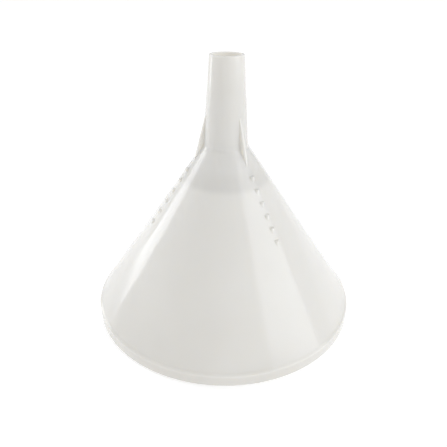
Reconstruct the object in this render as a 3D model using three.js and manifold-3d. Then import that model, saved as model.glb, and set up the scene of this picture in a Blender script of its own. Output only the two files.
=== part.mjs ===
// Conical plastic filter funnel with a lift-out perforated plate.
// Millimetres, +Z up. The funnel stands on its mouth with the stem up, and the origin is the
// centre of the mouth's rim plane. Azimuths are measured about +Z from +X.
import * as THREE from 'three';
import { mergeVertices } from 'three/addons/utils/BufferGeometryUtils.js';
import Module from 'manifold-3d';

// ---- Driving dimensions: the funnel body ----
const RIM_DIAMETER = 150;            // over the lip
const LIP_HEIGHT = 6.4;
const LIP_STEP = 0.6;                // how far the lip stands proud of the cone, rounded over
const LIP_FOOT_ROUND = 1.6;          // rounding of the lip's bottom edge
const CONE_HALF_ANGLE = THREE.MathUtils.degToRad(34.3);
const CONE_WALL = 1.8;               // measured square to the wall
const STEM_BASE_DIAMETER = 24.0;
const STEM_TIP_DIAMETER = 17.4;
const STEM_LENGTH = 45.6;
const STEM_WALL = 1.4;

// ---- Driving dimensions: fins and pips ----
const FIN_COUNT = 3;
const FIN_AZIMUTH = THREE.MathUtils.degToRad(-48);   // the first fin, the others follow evenly
const FIN_THICKNESS = 1.4;
const FIN_UP_STEM = 16.8;            // how far a fin climbs the stem
const FIN_DOWN_CONE = 7.5;           // how far it comes down the cone, along the axis
const PIPS_PER_ROW = 6;
const PIP_DIAMETER = 2.8;
const PIP_RISE = 0.6;                // height of a pip's flat top above the cone at its middle
const PIP_PITCH = 5.85;              // along the axis
const PIP_START = 12.4;              // first pip below the stem's root, along the axis

// ---- Driving dimensions: the plate and its seal ----
const PAPER_DIAMETER = 42.5;         // the filter paper that the plate takes
const PLATE_THICKNESS = 3.8;
const PLATE_EDGE_ROUND = 0.4;
const BEARING_WIDTH = 2.2;           // the ring of the plate that lies on the ledge
const BEARING_INSET = 0.9;           // the plate's stem side is this much smaller in radius
const GROOVE_DEPTH = 2.0;
const SEAL_HEIGHT = 1.6;
const HOLE_DIAMETER = 1.9;
const HOLE_PITCH = 3.9;
const FIT_GAP = 0.3;                 // between pieces that touch
const SEAT_CLEARANCE = 0.5;          // between the plate's edge and the wall beside the ledge

// ---- Facets ----
const ROUND_STEPS = 72;
const PIP_STEPS = 12;
const HOLE_STEPS = 8;

// ---- Derived sizes ----
const rimRadius = RIM_DIAMETER / 2;
const slope = Math.tan(CONE_HALF_ANGLE);
const coneFootRadius = rimRadius - LIP_STEP;
const stemBaseRadius = STEM_BASE_DIAMETER / 2;
const stemTipRadius = STEM_TIP_DIAMETER / 2;
const stemRootZ = LIP_HEIGHT + (coneFootRadius - stemBaseRadius) / slope;
const stemTipZ = stemRootZ + STEM_LENGTH;
const stemTaper = (stemBaseRadius - stemTipRadius) / STEM_LENGTH;
const wallAcross = CONE_WALL / Math.cos(CONE_HALF_ANGLE);

const coneRadius = (z) => coneFootRadius - slope * (z - LIP_HEIGHT);
const stemRadius = (z) => stemBaseRadius - stemTaper * (z - stemRootZ);
const innerConeRadius = (z) => coneRadius(z) - wallAcross;
const innerConeZ = (radius) => LIP_HEIGHT + (coneFootRadius - wallAcross - radius) / slope;
const boreRadius = (z) => stemRadius(z) - STEM_WALL;
const finRoot = STEM_WALL / 2;       // how deep a fin is rooted in the wall
const pipRoot = CONE_WALL / 4;

const paperRadius = PAPER_DIAMETER / 2;
const plateStemRadius = paperRadius - BEARING_INSET;
const ledgeZ = innerConeZ(plateStemRadius + SEAT_CLEARANCE);
const ledgeRadius = plateStemRadius - BEARING_WIDTH;
const plateTopZ = ledgeZ - FIT_GAP;
const plateBottomZ = plateTopZ - PLATE_THICKNESS;
const plateMiddleZ = (plateTopZ + plateBottomZ) / 2;

// ---- Solids ----
const wasm = await Module();
wasm.setup();

function solid(geometry) {
  const bare = new THREE.BufferGeometry();
  const source = geometry.index ? geometry.toNonIndexed() : geometry;
  bare.setAttribute('position', source.getAttribute('position').clone());
  const merged = mergeVertices(bare, 1e-4);
  return new wasm.Manifold(new wasm.Mesh({
    numProp: 3,
    vertProperties: new Float32Array(merged.getAttribute('position').array),
    triVerts: new Uint32Array(merged.index.array),
  }));
}

function geometryOf(manifold) {
  const mesh = manifold.getMesh();
  const geometry = new THREE.BufferGeometry();
  geometry.setAttribute('position', new THREE.BufferAttribute(new Float32Array(mesh.vertProperties), 3));
  geometry.setIndex(new THREE.BufferAttribute(new Uint32Array(mesh.triVerts), 1));
  geometry.computeVertexNormals();
  return geometry;
}

// An outline of [radius, z] points turned about +Z. It starts and ends on the axis or closes on itself,
// and runs anticlockwise when radius is drawn to the right and z up, so that the faces point out.
function turned(outline) {
  const points = outline.map(([radius, z]) => new THREE.Vector2(radius, z));
  const lathe = new THREE.LatheGeometry(points, ROUND_STEPS);
  return lathe.rotateX(Math.PI / 2);
}

// Points of a round of the given radius about a centre, from one angle to another.
function arc(centreRadius, centreZ, radius, fromDegrees, toDegrees, steps = 3) {
  return Array.from({ length: steps + 1 }, (_, i) => {
    const angle = THREE.MathUtils.degToRad(fromDegrees + (toDegrees - fromDegrees) * i / steps);
    return [centreRadius + radius * Math.cos(angle), centreZ + radius * Math.sin(angle)];
  });
}

// ---- The funnel body ----
function outerOutline() {
  return [
    [0, 0],
    ...arc(rimRadius - LIP_FOOT_ROUND, LIP_FOOT_ROUND, LIP_FOOT_ROUND, -90, 0),
    ...arc(coneFootRadius, LIP_HEIGHT - LIP_STEP, LIP_STEP, 0, 90),
    [stemBaseRadius, stemRootZ],
    [stemTipRadius, stemTipZ],
    [0, stemTipZ],
  ];
}

// The space inside, run on past the mouth and the stem's tip so that it cuts right through.
function cavityOutline() {
  const overrun = 1;
  const boreStart = intersectionOfBoreAndCone();
  return [
    [0, -overrun],
    [innerConeRadius(LIP_HEIGHT), -overrun],
    [innerConeRadius(LIP_HEIGHT), LIP_HEIGHT],
    [innerConeRadius(ledgeZ), ledgeZ],
    [ledgeRadius, ledgeZ],
    [ledgeRadius, innerConeZ(ledgeRadius)],
    [boreRadius(boreStart), boreStart],
    [boreRadius(stemTipZ + overrun), stemTipZ + overrun],
    [0, stemTipZ + overrun],
  ];
}

// The height where the tapered bore meets the inside of the cone.
function intersectionOfBoreAndCone() {
  const boreAtZero = boreRadius(0);
  const coneAtZero = innerConeRadius(0);
  return (coneAtZero - boreAtZero) / (slope - stemTaper);
}

// A thin triangular web that stiffens the stem's root, drawn in the plane of radius and z.
function fin(azimuth) {
  const topZ = stemRootZ + FIN_UP_STEM;
  const footZ = stemRootZ - FIN_DOWN_CONE;
  const outline = new THREE.Shape();
  outline.moveTo(stemRadius(topZ) - finRoot, topZ);
  outline.lineTo(stemRadius(stemRootZ) - finRoot, stemRootZ - finRoot);
  outline.lineTo(coneRadius(footZ) - finRoot, footZ);
  outline.lineTo(coneRadius(footZ), footZ);
  outline.lineTo(stemRadius(topZ), topZ);
  outline.closePath();
  const web = new THREE.ExtrudeGeometry(outline, { depth: FIN_THICKNESS, bevelEnabled: false });
  web.translate(0, 0, -FIN_THICKNESS / 2);
  web.rotateX(Math.PI / 2);
  web.rotateZ(azimuth);
  return solid(web);
}

// An upright round peg with a flat top. Only its top and its outer side stand out of the cone.
function pip(azimuth, z) {
  const radius = PIP_DIAMETER / 2;
  const top = z + PIP_RISE;
  const foot = z - radius / slope - pipRoot;
  const peg = new THREE.CylinderGeometry(radius, radius, top - foot, PIP_STEPS);
  peg.rotateX(Math.PI / 2);
  peg.translate(coneRadius(z), 0, (top + foot) / 2);
  peg.rotateZ(azimuth);
  return solid(peg);
}

function funnelBody() {
  let body = solid(turned(outerOutline()));
  for (let i = 0; i < FIN_COUNT; i += 1) {
    const azimuth = FIN_AZIMUTH + i * 2 * Math.PI / FIN_COUNT;
    body = body.add(fin(azimuth));
    for (let k = 0; k < PIPS_PER_ROW; k += 1) {
      body = body.add(pip(azimuth, stemRootZ - PIP_START - k * PIP_PITCH));
    }
  }
  return body.subtract(solid(turned(cavityOutline())));
}

// ---- The perforated plate ----
// A disc with a groove around its edge. Its mouth side carries the paper.
function plateDisc() {
  const grooveHalf = SEAL_HEIGHT / 2 + FIT_GAP;
  const grooveRadius = plateStemRadius - GROOVE_DEPTH;
  return solid(turned([
    [0, plateBottomZ],
    ...arc(paperRadius - PLATE_EDGE_ROUND, plateBottomZ + PLATE_EDGE_ROUND, PLATE_EDGE_ROUND, -90, 0, 2),
    [paperRadius, plateMiddleZ - grooveHalf],
    [grooveRadius, plateMiddleZ - grooveHalf],
    [grooveRadius, plateMiddleZ + grooveHalf],
    [plateStemRadius, plateMiddleZ + grooveHalf],
    [plateStemRadius, plateTopZ],
    [0, plateTopZ],
  ]));
}

// Rings of drain holes, six more in each ring, as far out as the ledge leaves free.
function drainHoles() {
  const reach = Math.min(ledgeRadius, plateStemRadius - GROOVE_DEPTH) - HOLE_DIAMETER;
  const ringCount = Math.floor(reach / HOLE_PITCH);
  const overrun = 1;
  const holes = [];
  for (let ring = 1; ring <= ringCount; ring += 1) {
    for (let k = 0; k < 6 * ring; k += 1) {
      const radius = HOLE_DIAMETER / 2;
      const hole = new THREE.CylinderGeometry(radius, radius, PLATE_THICKNESS + 2 * overrun, HOLE_STEPS);
      hole.rotateX(Math.PI / 2);
      const angle = 2 * Math.PI * k / (6 * ring);
      hole.translate(ring * HOLE_PITCH * Math.cos(angle), ring * HOLE_PITCH * Math.sin(angle), plateMiddleZ);
      holes.push(hole);
    }
  }
  return holes;
}

function filterPlate() {
  return drainHoles().reduce((plate, hole) => plate.subtract(solid(hole)), plateDisc());
}

// ---- The seal ring ----
// It lies in the plate's groove, and its outer face slopes with the wall of the cone.
function plateSeal() {
  const bottom = plateMiddleZ - SEAL_HEIGHT / 2;
  const top = plateMiddleZ + SEAL_HEIGHT / 2;
  const innerRadius = plateStemRadius - GROOVE_DEPTH + FIT_GAP;
  const wallGap = FIT_GAP / Math.cos(CONE_HALF_ANGLE);
  const outerRadius = (z) => innerConeRadius(z) - wallGap;
  return solid(turned([
    [innerRadius, bottom],
    [outerRadius(bottom), bottom],
    [outerRadius(top), top],
    [innerRadius, top],
    [innerRadius, bottom],
  ]));
}

// ---- Materials and assembly ----
const whitePlastic = { color: 0xe4e2de, roughness: 0.28, metalness: 0 };
const platePlastic = { color: 0xe9e8e4, roughness: 0.4, metalness: 0 };
const clearSilicone = { color: 0xd6d8d8, roughness: 0.5, metalness: 0 };

function named(name, manifold, finish) {
  const mesh = new THREE.Mesh(geometryOf(manifold), new THREE.MeshStandardMaterial(finish));
  mesh.name = name;
  return mesh;
}

const funnel = new THREE.Group();
funnel.add(named('funnel_body', funnelBody(), whitePlastic));

const liftOutPlate = new THREE.Group();
liftOutPlate.add(named('filter_plate', filterPlate(), platePlastic));
liftOutPlate.add(named('plate_seal', plateSeal(), clearSilicone));
funnel.add(liftOutPlate);

export default funnel;
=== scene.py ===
"""Looks of a conical plastic filter funnel that stands on its mouth, with a lift-out plate inside."""

import math

import bmesh
import bpy
import numpy as np
from bpy.props import FloatProperty, FloatVectorProperty, IntProperty, PointerProperty
from mathutils import Matrix, Quaternion, Vector


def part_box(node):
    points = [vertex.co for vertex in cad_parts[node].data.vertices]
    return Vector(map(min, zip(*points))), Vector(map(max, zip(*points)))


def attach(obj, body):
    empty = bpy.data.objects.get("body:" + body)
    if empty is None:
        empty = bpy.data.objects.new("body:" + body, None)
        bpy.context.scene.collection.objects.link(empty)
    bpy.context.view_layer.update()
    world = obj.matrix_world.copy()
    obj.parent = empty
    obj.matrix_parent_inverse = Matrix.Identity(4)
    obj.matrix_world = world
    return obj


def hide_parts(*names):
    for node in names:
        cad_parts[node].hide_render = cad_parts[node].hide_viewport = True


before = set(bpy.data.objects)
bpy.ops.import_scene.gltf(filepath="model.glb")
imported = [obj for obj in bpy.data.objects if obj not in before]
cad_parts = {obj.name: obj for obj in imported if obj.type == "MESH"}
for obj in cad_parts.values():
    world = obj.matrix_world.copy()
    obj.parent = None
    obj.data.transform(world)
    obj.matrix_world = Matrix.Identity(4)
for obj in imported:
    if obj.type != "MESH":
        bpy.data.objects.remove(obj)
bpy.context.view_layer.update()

bl_info = {
    "name": "Filter funnel",
    "version": (1, 0, 0),
    "blender": (4, 5, 0),
    "location": "3D View > Sidebar > Funnel",
    "description": "Builds a moulded filter funnel, its perforated plate and its seal ring",
    "category": "Object",
}

MM = 0.001
BODY_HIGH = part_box("funnel_body")[1]
PLATE_LOW, PLATE_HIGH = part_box("filter_plate")
SEAL_LOW, SEAL_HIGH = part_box("plate_seal")

WHITE = (1.0, 1.0, 1.0)
BLACK = (0.0, 0.0, 0.0)

# Roundings of the moulding's outside, from the lip to the stem's tip.
LIP_RUN_OUT = 0.9 * MM
LIP_RUN_OUT_ROUND = 2.0 * MM
STEM_ROOT_ROUND = 5.0 * MM
TIP_OUTER_ROUND = 0.35 * MM

# Roundings of the moulding's inside, from the stem's tip to the mouth.
TIP_INNER_ROUND = 0.3 * MM
BORE_FOOT_ROUND = 3.0 * MM
LEDGE_BACK_ROUND = 1.5 * MM
LEDGE_EDGE_ROUND = 0.3 * MM
LEDGE_CORNER_ROUND = 0.4 * MM
LIP_INSIDE_ROUND = 2.0 * MM
MOUTH_EDGE_ROUND = 0.6 * MM

# Roundings of the fins and the pips. A fin takes its full section once it stands out by its blend height.
FIN_ROOT_ROUND = 0.8 * MM
FIN_EDGE_ROUND = 0.35 * MM
FIN_BLEND_HEIGHT = 0.5 * MM
PIP_EDGE_ROUND = 0.3 * MM

# Roundings of the plate and the seal ring, and the smooth margin round each face of the plate.
PAPER_FACE_ROUND = 0.4 * MM
STEM_FACE_ROUND = 0.3 * MM
GROOVE_LIP_ROUND = 0.15 * MM
GROOVE_FLOOR_ROUND = 0.2 * MM
HOLE_EDGE_ROUND = 0.2 * MM
SEAL_EDGE_ROUND = 0.3 * MM
PAPER_FACE_MARGIN = 1.5 * MM
STEM_FACE_MARGIN = 1.2 * MM

# Fineness of the meshes: longest steps along the outline, and counts of points.
COARSE_STEP = 3.0 * MM
FIN_STEP = 0.5 * MM
PIP_STEP = 0.25 * MM
BAND_HALF_WIDTH = 2.5 * MM
BESIDE_FIN_POINTS = 3
FIN_ARC_POINTS = 6
ARC_COLUMNS = 52
TURNED_COLUMNS = 192
FILLET_STEPS = 5
PLATE_EDGE_STEPS = 180
HOLE_STEPS = 24

# A fillet takes at most this share of each straight beside it.
FILLET_SHARE = 0.48

# Drain holes in the innermost ring. Each further ring has as many more.
FIRST_RING_HOLES = 6

# Marks in the surfaces, as repeats per metre.
FLOW_MARKS = 22.0
PLASTIC_GRAIN = 900.0
TOOLING_RINGS = 900.0
HANDLING_ACROSS = 60.0
HANDLING_ALONG = 700.0
SILICONE_DUST = 1600.0
SILICONE_HAZE = 60.0
FLOOR_GRAIN = 40.0

# Painted shade: the share by which the wall's base colour is darkened in each of its zones. Painted light:
# the share of the plastic's colour that the stem's bore gives off as emission.
PAINTED_SHADE_ABOVE_PLATE = 0.04
PAINTED_SHADE_AT_LEDGE = 0.045
PAINTED_SHADE_OF_STEM = 0.07
PAINTED_SHADE_NEAR_FLOOR = 0.03
PAINTED_SHADE_OF_LIP = 0.06
PAINTED_BORE_LIGHT = 0.13

# Height above the floor up to which the wall counts as near it, and gets painted shade that is darker towards
# the floor.
NEAR_FLOOR = 60.0 * MM

# The floor reaches this far each way. Its glow grows by the gain between the near and the far distance.
FLOOR_REACH = 40.0
FLOOR_NEAR = 0.25
FLOOR_FAR = 1.2
FLOOR_FAR_GAIN = 1.4

# The soft panels all stand this far from the point that they light.
LIGHT_DISTANCE = 0.8
LIGHT_AIM = Vector((0, 0, 0.06))
LIGHT_TINT = (0.97, 1.0, 1.04)

SENSOR_WIDTH_MM = 36.0

# The place of the Object output among the outputs of a Texture Coordinate node.
OBJECT_OUTPUT = 3


def length(name, description, millimetres):
    """A length property, given in millimetres and kept in metres."""
    return FloatProperty(name=name, description=description, default=millimetres * MM,
                         unit="LENGTH", precision=5)


def angle(name, description, degrees):
    """An angle property, given in degrees and kept in radians."""
    return FloatProperty(name=name, description=description, default=math.radians(degrees), unit="ROTATION")


def colour(name, description, value):
    """A colour property of red, green and blue."""
    return FloatVectorProperty(name=name, description=description, default=value, subtype="COLOR",
                               size=3, min=0.0, max=1.0)


# ---------------------------------------------------------------- settings


class FunnelBodySettings(bpy.types.PropertyGroup):
    """Measures and colour of the moulded funnel."""

    lip_height: length("Lip height", "Height of the thickened lip", 6.4)
    lip_step: length("Lip step", "How far the lip stands proud of the cone", 0.6)
    lip_foot_round: length("Lip foot round", "Rounding of the lip's bottom edge", 1.6)
    half_angle: angle("Cone half angle", "Angle between the cone and its axis", 34.3)
    cone_wall: length("Cone wall", "Wall thickness of the cone", 1.8)
    stem_base: length("Stem base", "Outer diameter of the stem at its root", 24.0)
    stem_tip: length("Stem tip", "Outer diameter of the stem at its tip", 17.4)
    stem_wall: length("Stem wall", "Wall thickness of the stem", 1.4)
    fin_azimuth: angle("Fin azimuth", "Direction of the first fin, from +X", -48.0)
    fin_thickness: length("Fin thickness", "Thickness of a fin", 1.4)
    fin_up_stem: length("Fin up the stem", "How far a fin climbs the stem", 16.8)
    fin_down_cone: length("Fin down the cone", "How far a fin comes down the cone", 7.5)
    pip_diameter: length("Pip diameter", "Diameter of a pip", 2.8)
    pip_rise: length("Pip rise", "Height of a pip's flat top above the cone at its middle", 0.6)
    pip_pitch: length("Pip pitch", "Spacing of the pips along the axis", 5.85)
    pip_start: length("Pip start", "First pip below the stem's root", 12.4)
    fin_count: IntProperty(name="Fins", description="Number of fins and pip rows", default=3)
    pips_per_row: IntProperty(name="Pips per row", description="Number of pips below each fin", default=6)
    plastic: colour("Plastic", "Colour of the milky plastic", (0.82, 0.803, 0.765))


class PlateSettings(bpy.types.PropertyGroup):
    """Measures and colour of the perforated plate."""

    bearing_width: length("Bearing width", "Width of the ring that lies on the ledge", 2.2)
    bearing_inset: length("Bearing inset", "How much smaller the stem side's radius is", 0.9)
    groove_depth: length("Groove depth", "Depth of the seal's groove", 2.0)
    fit_gap: length("Fit gap", "Gap between the seal and its groove", 0.3)
    hole_diameter: length("Hole diameter", "Diameter of a drain hole", 1.9)
    hole_pitch: length("Hole pitch", "Spacing of the rings of holes", 3.9)
    hole_rings: IntProperty(name="Rings", description="Rings of drain holes", default=4)
    plastic: colour("Plastic", "Colour of the plate", (0.82, 0.81, 0.79))


class SealSettings(bpy.types.PropertyGroup):
    """Colour of the seal ring. Its measures come from the frame and from the plate."""

    silicone: colour("Silicone", "Colour of the seal ring", (0.70, 0.72, 0.73))


class StageSettings(bpy.types.PropertyGroup):
    """The camera, the floor and the light from all round."""

    camera_distance: length("Camera distance", "How far the camera stands in front of the axis", 231.5)
    camera_height: length("Camera height", "Height of the camera above the floor", 173.4)
    camera_tilt: angle("Camera tilt", "How far the camera looks down", 28.02)
    camera_turn: angle("Camera turn", "How far the camera looks to the right", -0.16)
    camera_roll: angle("Camera roll", "How far the camera leans", 0.71)
    lens: FloatProperty(name="Lens", description="Focal length in millimetres", default=36.28, unit="CAMERA")
    paper: colour("Floor", "Colour of the floor", (0.93, 0.93, 0.93))
    floor_glow: FloatProperty(name="Floor glow", description="Light that the floor itself gives off",
                              default=0.29)
    ambient: FloatProperty(name="Ambient", description="Strength of the light from all round", default=0.68)
    backdrop: FloatProperty(name="Backdrop", description="Brightness of what is seen behind", default=1.05)


# ---------------------------------------------------------------- shader expressions


class Sock:
    """One socket of a node tree. Arithmetic on it adds Math nodes, and reads as it would on paper."""

    def __init__(self, graph, socket):
        self.graph = graph
        self.socket = socket

    def _math(self, operation, *values):
        return self.graph.node("ShaderNodeMath", {"operation": operation}, *values)[0]

    def __add__(self, other):
        return self._math("ADD", self, other)

    def __sub__(self, other):
        return self._math("SUBTRACT", self, other)

    def __rsub__(self, other):
        return self._math("SUBTRACT", other, self)

    def __mul__(self, other):
        return self._math("MULTIPLY", self, other)

    __radd__ = __add__
    __rmul__ = __mul__

    def root(self):
        """The square root."""
        return self._math("SQRT", self)

    def ramp(self, low, high):
        """0 below low, 1 above high, and smooth between them."""
        return self.graph.node("ShaderNodeMapRange", {"interpolation_type": "SMOOTHSTEP"},
                               self, low, high, 0.0, 1.0)[0]


class Graph:
    """The node tree of a material or a world, and the shader that the tree starts with."""

    def __init__(self, owner, shader):
        owner.use_nodes = True
        self.owner = owner
        self.tree = owner.node_tree
        self.shader = self.tree.nodes[shader]

    def node(self, kind, settings, *values, **named):
        """Adds a node: its settings first, then its inputs in order or by name. Returns its outputs."""
        made = self.tree.nodes.new(kind)
        for key, value in settings.items():
            setattr(made, key, value)
        inputs = [socket for socket in made.inputs if socket.enabled]
        for socket, value in zip(inputs, values):
            self.feed(socket, value)
        for key, value in named.items():
            self.feed(made.inputs[key], value)
        return [Sock(self, socket) for socket in made.outputs if socket.enabled]

    def feed(self, socket, value):
        """Links an expression to a socket, or sets a plain value on it."""
        if isinstance(value, Sock):
            self.tree.links.new(value.socket, socket)
        else:
            socket.default_value = value

    def position(self):
        """The place of a point in the piece's own coordinates."""
        return self.node("ShaderNodeTexCoord", {})[OBJECT_OUTPUT]

    def split(self, vector):
        """The x, y and z of a vector."""
        return self.node("ShaderNodeSeparateXYZ", {}, vector)

    def join(self, x, y, z):
        """A vector from its x, y and z."""
        return self.node("ShaderNodeCombineXYZ", {}, x, y, z)[0]

    def distance(self, vector):
        """The length of a vector."""
        return self.node("ShaderNodeVectorMath", {"operation": "LENGTH"}, vector)[-1]

    def noise(self, vector, scale, detail, roughness=0.5):
        """Cloudy noise between 0 and 1."""
        return self.node("ShaderNodeTexNoise", {}, vector, scale, detail, roughness)[0]

    def mix(self, factor, first, second):
        """A blend of two colours: the first at 0, the second at 1."""
        return self.node("ShaderNodeMix", {"data_type": "RGBA"}, factor, first, second)[0]

    def bump(self, height, distance):
        """A normal that follows a height, where 1 stands for the given distance."""
        return self.node("ShaderNodeBump", {}, Distance=distance, Height=height)[0]

    def finish(self, inputs):
        """Feeds the sockets of the tree's shader, by name, and returns the material or world."""
        for key, value in inputs.items():
            self.feed(self.shader.inputs[key], value)
        return self.owner


def material_graph(name):
    """The node tree of a new material, with Principled BSDF as its shader."""
    return Graph(bpy.data.materials.new(name), "Principled BSDF")


def rgba(value, gain=1.0):
    """An opaque colour, made lighter or darker by the gain."""
    return (value[0] * gain, value[1] * gain, value[2] * gain, 1.0)


def moulded_white(name, plastic, gloss, milkiness, shade=None, glow=None):
    """Milky moulded plastic: slow flow marks, tooling rings round the axis, and fine handling marks.

    shade takes the height z, and gives the painted shade there: the share of the base colour that the wall
    keeps at that height.
    glow takes the radius and z, and gives where the plastic gives off painted light as emission, in place of
    light through the wall from outside.
    """
    graph = material_graph(name)
    position = graph.position()
    x, y, z = graph.split(position)
    radius = (x * x + y * y).root()
    flow = graph.noise(position, scale=FLOW_MARKS, detail=2.0)
    grain = graph.noise(position, scale=PLASTIC_GRAIN, detail=4.0, roughness=0.6)
    tooling = graph.join(radius * TOOLING_RINGS, z * TOOLING_RINGS, 0.0)
    rings = graph.noise(tooling, scale=1.0, detail=1.0)
    handling = graph.join(x * HANDLING_ACROSS, y * HANDLING_ACROSS, z * HANDLING_ALONG)
    scuffs = graph.noise(handling, scale=1.0, detail=5.0, roughness=0.65).ramp(0.62, 0.72)
    tint = graph.mix(flow.ramp(0.35, 0.65), rgba(plastic, 0.985), rgba(plastic, 1.01))
    # Painted shade: shade darkens the base colour by height.
    if shade:
        tint = graph.mix(shade(z), rgba(BLACK), tint)
    height = 0.5 * flow + 0.02 * rings + 0.01 * grain
    # Painted light: the bore gives off a share of the plastic's colour as emission.
    painted_bore_light = rgba(BLACK)
    if glow:
        painted_bore_light = graph.mix(glow(radius, z), rgba(BLACK), rgba(plastic, PAINTED_BORE_LIGHT))
    return graph.finish({
        "Base Color": tint,
        "Emission Color": painted_bore_light,
        "Emission Strength": 1.0,
        "Roughness": gloss + 0.05 * flow + 0.03 * grain + 0.05 * scuffs,
        "Normal": graph.bump(height, 0.25 * MM),
        "IOR": 1.49,
        "Subsurface Weight": milkiness,
        "Subsurface Radius": (1.0, 0.95, 0.85),
        "Subsurface Scale": 3.5 * MM,
    })


# ---------------------------------------------------------------- outlines and turned meshes


def rounded(corners):
    """An open outline of (radius, z, fillet) corners, with each fillet as an arc."""
    points = []
    for i, (r, z, fillet) in enumerate(corners):
        here = np.array((r, z))
        if fillet <= 0 or i in (0, len(corners) - 1):
            points.append(here)
            continue
        back = np.array(corners[i - 1][:2]) - here
        ahead = np.array(corners[i + 1][:2]) - here
        back_length, ahead_length = np.linalg.norm(back), np.linalg.norm(ahead)
        back, ahead = back / back_length, ahead / ahead_length
        half = math.acos(np.clip(back @ ahead, -1, 1)) / 2
        reach = min(fillet / math.tan(half), FILLET_SHARE * back_length, FILLET_SHARE * ahead_length)
        radius = reach * math.tan(half)
        bisector = (back + ahead) / np.linalg.norm(back + ahead)
        centre = here + bisector * radius / math.sin(half)
        start, end = here + back * reach - centre, here + ahead * reach - centre
        sweep = math.acos(np.clip(start @ end / radius ** 2, -1, 1))
        for k in range(FILLET_STEPS + 1):
            share = k / FILLET_STEPS
            a = math.sin((1 - share) * sweep) / math.sin(sweep)
            b = math.sin(share * sweep) / math.sin(sweep)
            points.append(centre + a * start + b * end)
    return np.array(points)


def refined(points, spacing):
    """The same outline with its long stretches cut into steps of spacing(z), or up to half as much again."""
    fine = [points[0]]
    for end in points[1:]:
        start = fine[-1]
        while True:
            gap = np.linalg.norm(end - start)
            step = spacing(start[1])
            if gap <= step * 1.5:
                break
            start = start + (end - start) * step / gap
            fine.append(start)
        fine.append(end)
    return np.array(fine)


def add_piece(name, mesh, material):
    """An object in the scene that shows the mesh in one material."""
    piece = bpy.data.objects.new(name, mesh)
    bpy.context.scene.collection.objects.link(piece)
    piece.data.materials.append(material)
    return piece


def smooth_piece(name, vertices, faces, material):
    """A smooth piece from its vertices and faces."""
    mesh = bpy.data.meshes.new(name)
    mesh.from_pydata([tuple(v) for v in vertices], [], faces)
    mesh.update()
    mesh.shade_smooth()
    return add_piece(name, mesh, material)


def grid_faces(rows, columns):
    """Quads of a grid that wraps round both its rows and its columns."""
    faces = []
    for i in range(rows):
        below = (i + 1) % rows
        for j in range(columns):
            right = (j + 1) % columns
            faces.append((i * columns + j, i * columns + right, below * columns + right, below * columns + j))
    return faces


def turned(name, outline, material):
    """A closed outline turned round the axis."""
    angles = np.arange(TURNED_COLUMNS) * 2 * math.pi / TURNED_COLUMNS
    r, z = outline[:, 0][:, None], outline[:, 1][:, None]
    vertices = np.stack([r * np.cos(angles), r * np.sin(angles), z + 0 * angles], -1).reshape(-1, 3)
    return smooth_piece(name, vertices, grid_faces(len(outline), TURNED_COLUMNS), material)


# ---------------------------------------------------------------- the funnel body


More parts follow.
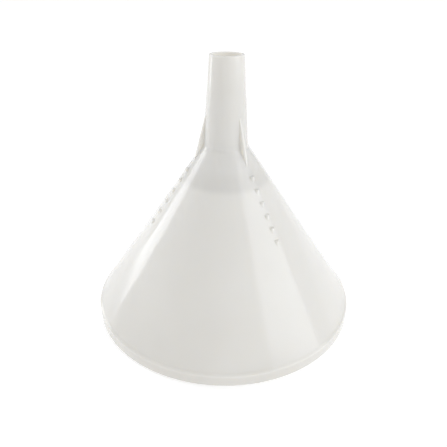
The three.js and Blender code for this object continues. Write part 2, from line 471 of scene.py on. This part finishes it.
class BodyShape:
    """The funnel's measures, worked out from its settings and from the frame."""

    def __init__(self, sizes):
        self.sizes = sizes
        self.rim = BODY_HIGH.x
        self.tip_z = BODY_HIGH.z
        self.slope = math.tan(sizes.half_angle)
        self.foot = self.rim - sizes.lip_step
        self.across = sizes.cone_wall / math.cos(sizes.half_angle)
        self.rim_flat = (self.rim - sizes.lip_foot_round + self.foot - self.across) / 2
        self.root_z = sizes.lip_height + (self.foot - sizes.stem_base / 2) / self.slope
        self.taper = (sizes.stem_base - sizes.stem_tip) / 2 / (self.tip_z - self.root_z)
        self.fin_top_z = self.root_z + sizes.fin_up_stem
        self.fin_foot_z = self.root_z - sizes.fin_down_cone
        self.pip_z = self.root_z - sizes.pip_start - np.arange(sizes.pips_per_row) * sizes.pip_pitch

    def cone(self, z):
        """Outer radius of the cone at height z."""
        return self.foot - self.slope * (z - self.sizes.lip_height)

    def stem(self, z):
        """Outer radius of the stem at height z."""
        return self.sizes.stem_base / 2 - self.taper * (z - self.root_z)

    def fin_height(self, radius, z):
        """How far a fin stands out of the wall, which has the given radius at height z."""
        if not self.fin_foot_z < z < self.fin_top_z:
            return 0.0
        top, foot = self.stem(self.fin_top_z), self.cone(self.fin_foot_z)
        edge = foot + (top - foot) * (z - self.fin_foot_z) / (self.fin_top_z - self.fin_foot_z)
        return max(edge - radius, 0.0)

    def outer_outline(self):
        """From the flat that the funnel stands on, up the outside, to the middle of the stem's tip."""
        sizes = self.sizes
        run_out_z = sizes.lip_height + LIP_RUN_OUT
        lip_edge_round = 1.6 * sizes.lip_step
        return rounded([
            (self.rim_flat, 0.0, 0.0),
            (self.rim, 0.0, sizes.lip_foot_round),
            (self.rim, sizes.lip_height, lip_edge_round),
            (self.cone(run_out_z), run_out_z, LIP_RUN_OUT_ROUND),
            (sizes.stem_base / 2, self.root_z, STEM_ROOT_ROUND),
            (sizes.stem_tip / 2, self.tip_z, TIP_OUTER_ROUND),
            ((sizes.stem_tip - sizes.stem_wall) / 2, self.tip_z, 0.0),
        ])

    def inner_outline(self):
        """From the middle of the stem's tip, down the bore and past the ledge, to the flat at the rim."""
        sizes = self.sizes
        plate = bpy.context.scene.funnel_plate
        rim_inside = self.foot - self.across
        ledge_z = PLATE_HIGH.z + plate.fit_gap
        wide = self.cone(ledge_z) - self.across
        ledge = PLATE_HIGH.x - plate.bearing_inset - plate.bearing_width
        ledge_top = sizes.lip_height + (rim_inside - ledge) / self.slope
        bore_foot = sizes.stem_base / 2 - sizes.stem_wall + self.taper * self.root_z
        bore_z = (rim_inside + self.slope * sizes.lip_height - bore_foot) / (self.slope - self.taper)
        return rounded([
            ((sizes.stem_tip - sizes.stem_wall) / 2, self.tip_z, 0.0),
            (sizes.stem_tip / 2 - sizes.stem_wall, self.tip_z, TIP_INNER_ROUND),
            (self.stem(bore_z) - sizes.stem_wall, bore_z, BORE_FOOT_ROUND),
            (ledge, ledge_top, LEDGE_BACK_ROUND),
            (ledge, ledge_z, LEDGE_EDGE_ROUND),
            (wide, ledge_z, LEDGE_CORNER_ROUND),
            (rim_inside, sizes.lip_height, LIP_INSIDE_ROUND),
            (rim_inside, 0.0, MOUTH_EDGE_ROUND),
            (self.rim_flat, 0.0, 0.0),
        ])

    def spacing(self, z):
        """The longest step of the outer outline at height z: finest at the pips, then at the fins."""
        if self.pip_z[-1] - 2 * COARSE_STEP < z < self.pip_z[0] + COARSE_STEP:
            return PIP_STEP
        if self.fin_foot_z - COARSE_STEP < z < self.fin_top_z + COARSE_STEP:
            return FIN_STEP
        return COARSE_STEP


def fin_section(height, thickness):
    """Half of a fin's cross-section as (across, out) pairs, from the wall beside it to its middle."""
    # Both roundings shrink where the fin is low.
    half = thickness / 2
    root = min(FIN_ROOT_ROUND, 0.5 * height)
    edge = min(FIN_EDGE_ROUND, 0.35 * height)
    quarter = np.linspace(0, math.pi / 2, FIN_ARC_POINTS)
    into_root = np.stack([half + root - root * np.sin(quarter), root - root * np.cos(quarter)], 1)
    over_edge = np.stack([half - edge + edge * np.cos(quarter), height - edge + edge * np.sin(quarter)], 1)
    return np.vstack([into_root, over_edge])


def band_section(height, thickness):
    """The band that holds a fin of the given height: how far its points lie across, and out from the wall."""
    points = BESIDE_FIN_POINTS + 2 * FIN_ARC_POINTS + 1
    across = np.linspace(BAND_HALF_WIDTH, 0, points)
    out = np.zeros(points)
    if height > 0:
        blend = min(1.0, height / FIN_BLEND_HEIGHT)
        section = fin_section(height, thickness)
        beside = np.linspace(BAND_HALF_WIDTH, section[0, 0], BESIDE_FIN_POINTS + 1)[:-1]
        section_across = np.concatenate([beside, section[:, 0], [0.0]])
        across = (1 - blend) * across + blend * section_across
        out = np.concatenate([np.zeros(BESIDE_FIN_POINTS), section[:, 1], [height]])
    return np.concatenate([across, -across[-2::-1]]), np.concatenate([out, out[-2::-1]])


def pip_mask(distance, radius):
    """1 on an upright round peg of the given radius, 0 off it, with a rounded edge."""
    share = np.clip((radius - distance) / PIP_EDGE_ROUND + 0.5, 0, 1)
    return share ** 2 * (3 - 2 * share)


def pip_lift(shape, across, radius, z):
    """How far the points of a band rise, along the axis, to the flat tops of the pips."""
    lift = np.zeros(len(across))
    for pip_z in shape.pip_z:
        distance = np.hypot(across, radius - shape.cone(pip_z))
        rise = max(pip_z + shape.sizes.pip_rise - z, 0.0)
        lift += pip_mask(distance, shape.sizes.pip_diameter / 2) * rise
    return lift


def body_row(shape, radius, z, outside):
    """One ring of vertices: for each fin, its band and then the plain wall up to the next one."""
    sizes = shape.sizes
    height = shape.fin_height(radius, z) if outside else 0.0
    across, out = band_section(height, sizes.fin_thickness)
    lift = np.zeros(len(across))
    if outside and height == 0:
        lift = pip_lift(shape, across, radius, z)
    radial = np.sqrt(radius ** 2 - across ** 2) + out
    reach = math.asin(BAND_HALF_WIDTH / radius)
    to_next = 2 * math.pi / sizes.fin_count - 2 * reach
    row = []
    for k in range(sizes.fin_count):
        middle = sizes.fin_azimuth + k * 2 * math.pi / sizes.fin_count
        towards = np.array((math.cos(middle), math.sin(middle)))
        sideways = np.array((math.sin(middle), -math.cos(middle)))
        band = radial[:, None] * towards + across[:, None] * sideways
        row.append(np.column_stack([band, z + lift]))
        angles = middle + reach + to_next * np.arange(1, ARC_COLUMNS) / ARC_COLUMNS
        level = np.full(len(angles), z)
        row.append(np.column_stack([radius * np.cos(angles), radius * np.sin(angles), level]))
    return np.vstack(row)


def body_grid(shape):
    """Vertices of the whole body: outside from the lip to the tip, then inside back to the lip."""
    outer = refined(shape.outer_outline(), shape.spacing)
    inner = refined(shape.inner_outline(), lambda z: COARSE_STEP)[1:-1]
    rows = [body_row(shape, radius, z, True) for radius, z in outer]
    rows += [body_row(shape, radius, z, False) for radius, z in inner]
    return np.array(rows)


def wall_shade(z):
    """Painted shade: the share of the wall's base colour kept at height z. It is darker above the plate, more
    so at the ledge and most in the stem, and also darker at the lip and near the floor.
    """
    top = PLATE_HIGH.z
    above_plate = z.ramp(top - 3.0 * MM, top + 0.5 * MM)
    past_ledge = z.ramp(top + 3.0 * MM, top + 9.0 * MM)
    stem = z.ramp(top + 15.0 * MM, top + 19.0 * MM)
    lip_height = bpy.context.scene.funnel_body.lip_height
    lip = 1.0 - z.ramp(lip_height - 1.5 * MM, lip_height + 0.5 * MM)
    low = 1.0 - z.ramp(0.0, NEAR_FLOOR)
    # Each zone's share is painted shade, taken off the base colour.
    upper = PAINTED_SHADE_ABOVE_PLATE * above_plate
    upper += PAINTED_SHADE_AT_LEDGE * above_plate * (1.0 - past_ledge)
    upper += PAINTED_SHADE_OF_STEM * stem
    return 1.0 - upper - PAINTED_SHADE_NEAR_FLOOR * low - PAINTED_SHADE_OF_LIP * lip


def bore_glow(radius, z):
    """1 in the stem's bore, where the plastic gives off painted light in place of light through the thin
    wall. It fades out below the stem's root.
    """
    sizes = bpy.context.scene.funnel_body
    shape = BodyShape(sizes)
    middle = sizes.stem_base / 2 - sizes.stem_wall / 2
    untapered = radius + shape.taper * (z - shape.root_z)
    bore = 1.0 - untapered.ramp(middle - 0.3 * MM, middle + 0.3 * MM)
    return bore * z.ramp(shape.root_z - 8.0 * MM, shape.root_z)


def build_body():
    """The moulded funnel: cone, lip, stem, fins and pips in one piece."""
    sizes = bpy.context.scene.funnel_body
    rows = body_grid(BodyShape(sizes))
    # The body gets painted shade by height, and painted light in its bore.
    material = moulded_white("white_polypropylene", sizes.plastic, gloss=0.09, milkiness=0.8,
                             shade=wall_shade, glow=bore_glow)
    faces = grid_faces(rows.shape[0], rows.shape[1])
    piece = smooth_piece("moulded_funnel", rows.reshape(-1, 3), faces, material)
    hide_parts("funnel_body")
    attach(piece, "funnel")
    return piece


# ---------------------------------------------------------------- the perforated plate


def ring_loop(bm, centre, radius, z, steps):
    """New vertices evenly spaced on a level circle."""
    loop = []
    for k in range(steps):
        turn = 2 * math.pi * k / steps
        x = centre[0] + radius * math.cos(turn)
        y = centre[1] + radius * math.sin(turn)
        loop.append(bm.verts.new((x, y, z)))
    return loop


def bridge(bm, first, second):
    """Smooth quads between two loops of the same length."""
    count = len(first)
    for k in range(count):
        after = (k + 1) % count
        face = bm.faces.new((first[k], first[after], second[after], second[k]))
        face.smooth = True


def fill_flat(bm, loops):
    """A flat face with holes: one outer loop and any number of inner ones."""
    edges = []
    for loop in loops:
        for k, vertex in enumerate(loop):
            pair = (vertex, loop[(k + 1) % len(loop)])
            edges.append(bm.edges.get(pair) or bm.edges.new(pair))
    made = bmesh.ops.triangle_fill(bm, edges=edges, use_beauty=True)
    for item in made["geom"]:
        if isinstance(item, bmesh.types.BMFace):
            item.smooth = False


def plate_outline(sizes):
    """The plate's edge, from its lower face round the seal's groove to its upper face."""
    low, high = PLATE_LOW.z, PLATE_HIGH.z
    paper = PLATE_HIGH.x
    stem_side = paper - sizes.bearing_inset
    groove_floor = stem_side - sizes.groove_depth
    middle = (low + high) / 2
    groove = (SEAL_HIGH.z - SEAL_LOW.z) / 2 + sizes.fit_gap
    return rounded([
        (paper - PAPER_FACE_MARGIN, low, 0.0),
        (paper, low, PAPER_FACE_ROUND),
        (paper, middle - groove, GROOVE_LIP_ROUND),
        (groove_floor, middle - groove, GROOVE_FLOOR_ROUND),
        (groove_floor, middle + groove, GROOVE_FLOOR_ROUND),
        (stem_side, middle + groove, GROOVE_LIP_ROUND),
        (stem_side, high, STEM_FACE_ROUND),
        (stem_side - STEM_FACE_MARGIN, high, 0.0),
    ])


def hole_centres(sizes):
    """Rings of drain holes round the plate's middle. Each ring has more holes than the one inside it."""
    centres = []
    for ring in range(1, sizes.hole_rings + 1):
        count = FIRST_RING_HOLES * ring
        distance = ring * sizes.hole_pitch
        for k in range(count):
            turn = 2 * math.pi * k / count
            centres.append((distance * math.cos(turn), distance * math.sin(turn)))
    return centres


def drilled(bm, centre, radius):
    """The wall of one drain hole, eased at both faces of the plate. Returns its lowest and highest loops."""
    low, high = PLATE_LOW.z, PLATE_HIGH.z
    wide = radius + HOLE_EDGE_ROUND
    eased = 0.3 * HOLE_EDGE_ROUND
    stack = [
        (wide, low),
        (radius + eased, low + eased),
        (radius, low + HOLE_EDGE_ROUND),
        (radius, high - HOLE_EDGE_ROUND),
        (radius + eased, high - eased),
        (wide, high),
    ]
    loops = [ring_loop(bm, centre, r, z, HOLE_STEPS) for r, z in stack]
    for first, second in zip(loops, loops[1:]):
        bridge(bm, second, first)
    return loops[0], loops[-1]


def build_plate():
    """The perforated plate, with its drain holes and the groove for the seal."""
    sizes = bpy.context.scene.funnel_plate
    bm = bmesh.new()
    edge = [ring_loop(bm, (0, 0), r, z, PLATE_EDGE_STEPS) for r, z in plate_outline(sizes)]
    for first, second in zip(edge, edge[1:]):
        bridge(bm, first, second)
    below, above = [edge[0]], [edge[-1]]
    for centre in hole_centres(sizes):
        lowest, highest = drilled(bm, centre, sizes.hole_diameter / 2)
        below.append(lowest)
        above.append(highest)
    fill_flat(bm, below)
    fill_flat(bm, above)
    bmesh.ops.recalc_face_normals(bm, faces=bm.faces)
    mesh = bpy.data.meshes.new("perforated_plate")
    bm.to_mesh(mesh)
    bm.free()
    material = moulded_white("satin_polypropylene", sizes.plastic, gloss=0.38, milkiness=0.2)
    piece = add_piece("perforated_plate", mesh, material)
    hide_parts("filter_plate")
    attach(piece, "plate")
    return piece


# ---------------------------------------------------------------- the seal ring


def milky_silicone(name, silicone):
    """Cloudy silicone with a soft haze and a little dust on it."""
    graph = material_graph(name)
    position = graph.position()
    dust = graph.noise(position, scale=SILICONE_DUST, detail=3.0, roughness=0.7).ramp(0.55, 0.75)
    haze = graph.noise(position, scale=SILICONE_HAZE, detail=2.0)
    return graph.finish({
        "Base Color": graph.mix(dust, rgba(silicone), rgba(silicone, 1.12)),
        "Roughness": 0.42 + 0.12 * haze,
        "Normal": graph.bump(0.3 * haze + 0.2 * dust, 0.1 * MM),
        "IOR": 1.41,
        "Subsurface Weight": 0.5,
        "Subsurface Radius": (1.0, 1.0, 0.95),
        "Subsurface Scale": 1.5 * MM,
    })


def build_seal():
    """The seal ring, whose outer face slopes with the cone's wall."""
    plate = bpy.context.scene.funnel_plate
    body = bpy.context.scene.funnel_body
    low, high = SEAL_LOW.z, SEAL_HIGH.z
    middle = (low + high) / 2
    inner = PLATE_HIGH.x - plate.bearing_inset - plate.groove_depth + plate.fit_gap
    outer = SEAL_HIGH.x
    narrowing = math.tan(body.half_angle) * (high - low)
    ring = rounded([
        (inner, middle, 0.0),
        (inner, low, SEAL_EDGE_ROUND),
        (outer, low, SEAL_EDGE_ROUND),
        (outer - narrowing, high, SEAL_EDGE_ROUND),
        (inner, high, SEAL_EDGE_ROUND),
        (inner, middle, 0.0),
    ])[:-1]
    material = milky_silicone("milky_silicone", bpy.context.scene.funnel_seal.silicone)
    piece = turned("seal_ring", ring, material)
    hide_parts("plate_seal")
    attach(piece, "plate")
    return piece


# ---------------------------------------------------------------- stage


def floor_material(settings):
    """Pale paper over a light table, a little brighter far away from the funnel."""
    graph = material_graph("pale_floor")
    position = graph.position()
    grain = graph.noise(position, scale=FLOOR_GRAIN, detail=3.0)
    far = graph.distance(position).ramp(FLOOR_NEAR, FLOOR_FAR)
    return graph.finish({
        "Base Color": graph.mix(grain, rgba(settings.paper, 0.995), rgba(settings.paper)),
        "Roughness": 0.6,
        "Specular IOR Level": 0.2,
        "Emission Color": graph.mix(far, rgba(WHITE), rgba(WHITE, FLOOR_FAR_GAIN)),
        "Emission Strength": settings.floor_glow,
    })


def studio_world(settings):
    """Even light from all round, in front of a white backdrop."""
    world = bpy.data.worlds.new("studio")
    graph = Graph(world, "Background")
    graph.finish({"Color": rgba(WHITE), "Strength": settings.ambient})
    lit = Sock(graph, graph.shader.outputs["Background"])
    seen = graph.node("ShaderNodeBackground", {}, rgba(WHITE), settings.backdrop)[0]
    camera_ray = graph.node("ShaderNodeLightPath", {})[0]
    either = graph.node("ShaderNodeMixShader", {}, camera_ray, lit, seen)[0]
    graph.feed(graph.tree.nodes["World Output"].inputs["Surface"], either)
    bpy.context.scene.world = world


def panel(name, azimuth, elevation, lean, width, height, power):
    """A soft rectangular light aimed at the funnel.

    The azimuth is counted from the front towards the right, and the lean is a turn about the light's own aim.
    """
    azimuth, elevation = math.radians(azimuth), math.radians(elevation)
    level = math.cos(elevation)
    away = Vector((level * math.sin(azimuth), -level * math.cos(azimuth), math.sin(elevation)))
    light = bpy.data.lights.new(name, "AREA")
    light.shape = "RECTANGLE"
    light.size, light.size_y = width, height
    light.energy = power
    light.color = LIGHT_TINT
    lamp = bpy.data.objects.new(name, light)
    bpy.context.scene.collection.objects.link(lamp)
    lamp.location = LIGHT_AIM + LIGHT_DISTANCE * away
    leaning = Quaternion((0, 0, 1), math.radians(lean))
    lamp.rotation_euler = (away.to_track_quat("Z", "Y") @ leaning).to_euler()


def build_camera(settings):
    """The camera stands in front of the funnel and looks a little down."""
    data = bpy.data.cameras.new("camera")
    data.sensor_width = SENSOR_WIDTH_MM
    data.lens = settings.lens
    data.clip_start, data.clip_end = 0.01, 100.0
    camera = bpy.data.objects.new("camera", data)
    bpy.context.scene.collection.objects.link(camera)
    tilt, turn, roll = settings.camera_tilt, settings.camera_turn, settings.camera_roll
    look = Vector((math.sin(turn) * math.cos(tilt), math.cos(turn) * math.cos(tilt), -math.sin(tilt)))
    right = look.cross(Vector((0, 0, 1))).normalized()
    up = right.cross(look)
    rolled_right = math.cos(roll) * right + math.sin(roll) * up
    rolled_up = math.cos(roll) * up - math.sin(roll) * right
    place = Vector((0, -settings.camera_distance, settings.camera_height))
    facing = Matrix((rolled_right, rolled_up, -look)).transposed().to_4x4()
    camera.matrix_world = Matrix.Translation(place) @ facing
    bpy.context.scene.camera = camera


def build_stage():
    """The camera, the floor, the light from all round and two soft panels."""
    settings = bpy.context.scene.funnel_stage
    build_camera(settings)
    corners = [
        (-FLOOR_REACH, -FLOOR_REACH, 0),
        (FLOOR_REACH, -FLOOR_REACH, 0),
        (FLOOR_REACH, FLOOR_REACH, 0),
        (-FLOOR_REACH, FLOOR_REACH, 0),
    ]
    floor = smooth_piece("floor", corners, [(0, 1, 2, 3)], floor_material(settings))
    studio_world(settings)
    panel("right_panel", azimuth=65.0, elevation=23.0, lean=-24.0, width=0.64, height=0.46, power=1.6)
    panel("left_strip", azimuth=-113.0, elevation=22.0, lean=0.0, width=0.28, height=0.75, power=1.75)
    bpy.context.scene.view_settings.view_transform = "Standard"


# ---------------------------------------------------------------- operators and panel


class FUNNEL_OT_body(bpy.types.Operator):
    """Builds the moulded funnel with its fins and pips"""
    bl_idname = "funnel.body"
    bl_label = "Funnel body"

    def execute(self, context):
        build_body()
        return {"FINISHED"}


class FUNNEL_OT_plate(bpy.types.Operator):
    """Builds the perforated plate"""
    bl_idname = "funnel.plate"
    bl_label = "Filter plate"

    def execute(self, context):
        build_plate()
        return {"FINISHED"}


class FUNNEL_OT_seal(bpy.types.Operator):
    """Builds the seal ring"""
    bl_idname = "funnel.seal"
    bl_label = "Seal ring"

    def execute(self, context):
        build_seal()
        return {"FINISHED"}


class FUNNEL_OT_stage(bpy.types.Operator):
    """Builds the floor, the lights and the camera"""
    bl_idname = "funnel.stage"
    bl_label = "Stage"

    def execute(self, context):
        build_stage()
        return {"FINISHED"}


class FUNNEL_PT_panel(bpy.types.Panel):
    """Lists the operators, and the settings that they read"""
    bl_label = "Filter funnel"
    bl_idname = "FUNNEL_PT_panel"
    bl_space_type = "VIEW_3D"
    bl_region_type = "UI"
    bl_category = "Funnel"

    def draw(self, context):
        for operator in OPERATORS:
            self.layout.operator(operator.bl_idname)
        for group in SETTINGS:
            box = self.layout.box()
            for prop in SETTINGS[group].__annotations__:
                box.prop(getattr(context.scene, group), prop)


SETTINGS = {
    "funnel_body": FunnelBodySettings,
    "funnel_plate": PlateSettings,
    "funnel_seal": SealSettings,
    "funnel_stage": StageSettings,
}
OPERATORS = (FUNNEL_OT_stage, FUNNEL_OT_body, FUNNEL_OT_plate, FUNNEL_OT_seal)


def register():
    """Registers the classes and gives the scene their settings."""
    for cls in (*SETTINGS.values(), *OPERATORS, FUNNEL_PT_panel):
        bpy.utils.register_class(cls)
    for name, cls in SETTINGS.items():
        setattr(bpy.types.Scene, name, PointerProperty(type=cls))


def unregister():
    """Undoes what register did."""
    for name in SETTINGS:
        delattr(bpy.types.Scene, name)
    for cls in reversed((*SETTINGS.values(), *OPERATORS, FUNNEL_PT_panel)):
        bpy.utils.unregister_class(cls)


def main():
    """Builds the stage and the three pieces."""
    register()
    bpy.ops.funnel.stage()
    bpy.ops.funnel.body()
    bpy.ops.funnel.plate()
    bpy.ops.funnel.seal()


if __name__ == "__main__":
    main()
